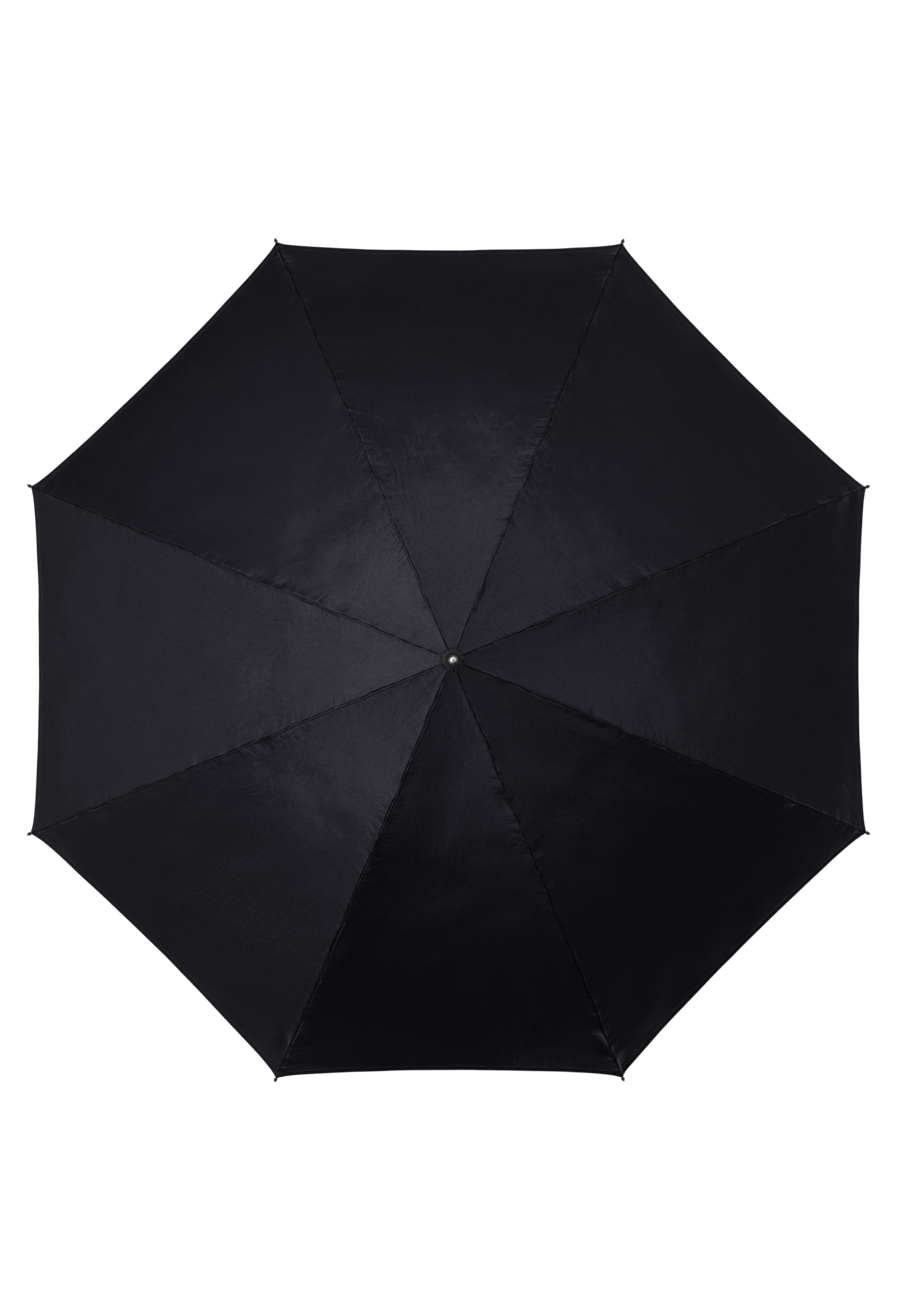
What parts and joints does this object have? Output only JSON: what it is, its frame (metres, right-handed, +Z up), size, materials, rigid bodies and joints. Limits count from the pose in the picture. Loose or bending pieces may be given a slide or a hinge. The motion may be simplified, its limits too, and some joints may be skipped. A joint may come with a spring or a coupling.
{
  "type": "stick umbrella",
  "caption": "Long umbrella with a fabric canopy on folding ribs, a sliding runner with spring catches, a spiked ferrule and a crook handle.",
  "frame": {"origin": "on the shaft's axis, halfway up the straight grip of the crook handle", "axes": "+Z up the shaft to the ferrule, +X the way the crook opens; rib 1 is 22.5 degrees from +X towards +Y; the rest pose is fully open"},
  "size_m": [0.9684, 0.9684, 0.8515],
  "materials": {
    "canopy_fabric": "matt, fine woven",
    "plated_steel": "nickel plated",
    "dark_steel": "black coated, satin",
    "spring_steel": "satin",
    "bright_nickel": "polished",
    "black_plastic": "satin",
    "black_enamel": "gloss",
    "handle_black": "satin, lightly grained"
  },
  "bodies": {
    "stick": {"shaft": "plated_steel", "shaft_pins": "plated_steel", "stop_pin": "plated_steel", "catch_pins": "plated_steel", "crown_notch": "black_plastic", "crown_wire": "plated_steel", "open_cap": "black_enamel", "rosette": "canopy_fabric", "ferrule": "black_enamel", "ferrule_tip": "bright_nickel", "handle": "handle_black", "handle_collar": "bright_nickel", "handle_cap": "bright_nickel"},
    "runner": {"runner": "black_plastic", "runner_wire": "plated_steel", "runner_thimble": "bright_nickel"},
    "top_catch": {"top_catch": "spring_steel"},
    "bottom_catch": {"bottom_catch": "spring_steel"},
    "rib_1": {"rib_1": "dark_steel", "rib_tip_1": "black_plastic", "rib_joint_1": "plated_steel", "canopy_panel_1": "canopy_fabric"},
    "rib_2": {"rib_2": "dark_steel", "rib_tip_2": "black_plastic", "rib_joint_2": "plated_steel", "canopy_panel_2": "canopy_fabric"},
    "rib_3": {"rib_3": "dark_steel", "rib_tip_3": "black_plastic", "rib_joint_3": "plated_steel", "canopy_panel_3": "canopy_fabric"},
    "rib_4": {"rib_4": "dark_steel", "rib_tip_4": "black_plastic", "rib_joint_4": "plated_steel", "canopy_panel_4": "canopy_fabric"},
    "rib_5": {"rib_5": "dark_steel", "rib_tip_5": "black_plastic", "rib_joint_5": "plated_steel", "canopy_panel_5": "canopy_fabric"},
    "rib_6": {"rib_6": "dark_steel", "rib_tip_6": "black_plastic", "rib_joint_6": "plated_steel", "canopy_panel_6": "canopy_fabric"},
    "rib_7": {"rib_7": "dark_steel", "rib_tip_7": "black_plastic", "rib_joint_7": "plated_steel", "canopy_panel_7": "canopy_fabric", "tie_strap": "canopy_fabric", "strap_snap": "bright_nickel"},
    "rib_8": {"rib_8": "dark_steel", "rib_tip_8": "black_plastic", "rib_joint_8": "plated_steel", "canopy_panel_8": "canopy_fabric"},
    "stretcher_1": {"stretcher_1": "dark_steel"},
    "stretcher_2": {"stretcher_2": "dark_steel"},
    "stretcher_3": {"stretcher_3": "dark_steel"},
    "stretcher_4": {"stretcher_4": "dark_steel"},
    "stretcher_5": {"stretcher_5": "dark_steel"},
    "stretcher_6": {"stretcher_6": "dark_steel"},
    "stretcher_7": {"stretcher_7": "dark_steel"},
    "stretcher_8": {"stretcher_8": "dark_steel"}
  },
  "joints": [
    {"name": "runner_slide", "type": "slide", "parent": "stick", "child": "runner", "axis": [0, 0, 1], "range_m": [-0.21739, 0], "deforming": ["canopy_panel_1", "canopy_panel_2", "canopy_panel_3", "canopy_panel_4", "canopy_panel_5", "canopy_panel_6", "canopy_panel_7", "canopy_panel_8", "top_catch", "bottom_catch", "tie_strap"]},
    {"name": "rib_1_fold", "type": "hinge", "parent": "stick", "child": "rib_1", "pos_m": [0.00739, 0.00306, 0.665], "axis": [-0.3827, 0.9239, 0], "range_deg": [0, 63.87]},
    {"name": "rib_2_fold", "type": "hinge", "parent": "stick", "child": "rib_2", "pos_m": [0.00306, 0.00739, 0.665], "axis": [-0.9239, 0.3827, 0], "range_deg": [0, 63.87]},
    {"name": "rib_3_fold", "type": "hinge", "parent": "stick", "child": "rib_3", "pos_m": [-0.00306, 0.00739, 0.665], "axis": [-0.9239, -0.3827, 0], "range_deg": [0, 63.87]},
    {"name": "rib_4_fold", "type": "hinge", "parent": "stick", "child": "rib_4", "pos_m": [-0.00739, 0.00306, 0.665], "axis": [-0.3827, -0.9239, 0], "range_deg": [0, 63.87]},
    {"name": "rib_5_fold", "type": "hinge", "parent": "stick", "child": "rib_5", "pos_m": [-0.00739, -0.00306, 0.665], "axis": [0.3827, -0.9239, 0], "range_deg": [0, 63.87]},
    {"name": "rib_6_fold", "type": "hinge", "parent": "stick", "child": "rib_6", "pos_m": [-0.00306, -0.00739, 0.665], "axis": [0.9239, -0.3827, 0], "range_deg": [0, 63.87]},
    {"name": "rib_7_fold", "type": "hinge", "parent": "stick", "child": "rib_7", "pos_m": [0.00306, -0.00739, 0.665], "axis": [0.9239, 0.3827, 0], "range_deg": [0, 63.87]},
    {"name": "rib_8_fold", "type": "hinge", "parent": "stick", "child": "rib_8", "pos_m": [0.00739, -0.00306, 0.665], "axis": [0.3827, 0.9239, 0], "range_deg": [0, 63.87]},
    {"name": "stretcher_1_fold", "type": "hinge", "parent": "rib_1", "child": "stretcher_1", "pos_m": [0.19585, 0.08112, 0.5989], "axis": [0.3827, -0.9239, 0], "range_deg": [0, 99.08]},
    {"name": "stretcher_2_fold", "type": "hinge", "parent": "rib_2", "child": "stretcher_2", "pos_m": [0.08112, 0.19585, 0.5989], "axis": [0.9239, -0.3827, 0], "range_deg": [0, 99.08]},
    {"name": "stretcher_3_fold", "type": "hinge", "parent": "rib_3", "child": "stretcher_3", "pos_m": [-0.08112, 0.19585, 0.5989], "axis": [0.9239, 0.3827, 0], "range_deg": [0, 99.08]},
    {"name": "stretcher_4_fold", "type": "hinge", "parent": "rib_4", "child": "stretcher_4", "pos_m": [-0.19585, 0.08112, 0.5989], "axis": [0.3827, 0.9239, 0], "range_deg": [0, 99.08]},
    {"name": "stretcher_5_fold", "type": "hinge", "parent": "rib_5", "child": "stretcher_5", "pos_m": [-0.19585, -0.08112, 0.5989], "axis": [-0.3827, 0.9239, 0], "range_deg": [0, 99.08]},
    {"name": "stretcher_6_fold", "type": "hinge", "parent": "rib_6", "child": "stretcher_6", "pos_m": [-0.08112, -0.19585, 0.5989], "axis": [-0.9239, 0.3827, 0], "range_deg": [0, 99.08]},
    {"name": "stretcher_7_fold", "type": "hinge", "parent": "rib_7", "child": "stretcher_7", "pos_m": [0.08112, -0.19585, 0.5989], "axis": [-0.9239, -0.3827, 0], "range_deg": [0, 99.08]},
    {"name": "stretcher_8_fold", "type": "hinge", "parent": "rib_8", "child": "stretcher_8", "pos_m": [0.19585, -0.08112, 0.5989], "axis": [-0.3827, -0.9239, 0], "range_deg": [0, 99.08]},
    {"name": "top_catch_press", "type": "hinge", "parent": "stick", "child": "top_catch", "pos_m": [0.0022, 0, 0.27004], "axis": [0, -1, 0], "range_deg": [0, 5], "stiffness_Nm_per_rad": 1.7},
    {"name": "bottom_catch_press", "type": "hinge", "parent": "stick", "child": "bottom_catch", "pos_m": [0.0022, 0, 0.07696], "axis": [0, -1, 0], "range_deg": [0, 5], "stiffness_Nm_per_rad": 1.7}
  ],
  "couplings": [
    {"joint": "rib_1_fold", "follows": "runner_slide", "rad_per_m": -5.1276},
    {"joint": "rib_2_fold", "follows": "runner_slide", "rad_per_m": -5.1276},
    {"joint": "rib_3_fold", "follows": "runner_slide", "rad_per_m": -5.1276},
    {"joint": "rib_4_fold", "follows": "runner_slide", "rad_per_m": -5.1276},
    {"joint": "rib_5_fold", "follows": "runner_slide", "rad_per_m": -5.1276},
    {"joint": "rib_6_fold", "follows": "runner_slide", "rad_per_m": -5.1276},
    {"joint": "rib_7_fold", "follows": "runner_slide", "rad_per_m": -5.1276},
    {"joint": "rib_8_fold", "follows": "runner_slide", "rad_per_m": -5.1276},
    {"joint": "stretcher_1_fold", "follows": "runner_slide", "rad_per_m": -7.9547},
    {"joint": "stretcher_2_fold", "follows": "runner_slide", "rad_per_m": -7.9547},
    {"joint": "stretcher_3_fold", "follows": "runner_slide", "rad_per_m": -7.9547},
    {"joint": "stretcher_4_fold", "follows": "runner_slide", "rad_per_m": -7.9547},
    {"joint": "stretcher_5_fold", "follows": "runner_slide", "rad_per_m": -7.9547},
    {"joint": "stretcher_6_fold", "follows": "runner_slide", "rad_per_m": -7.9547},
    {"joint": "stretcher_7_fold", "follows": "runner_slide", "rad_per_m": -7.9547},
    {"joint": "stretcher_8_fold", "follows": "runner_slide", "rad_per_m": -7.9547}
  ]
}
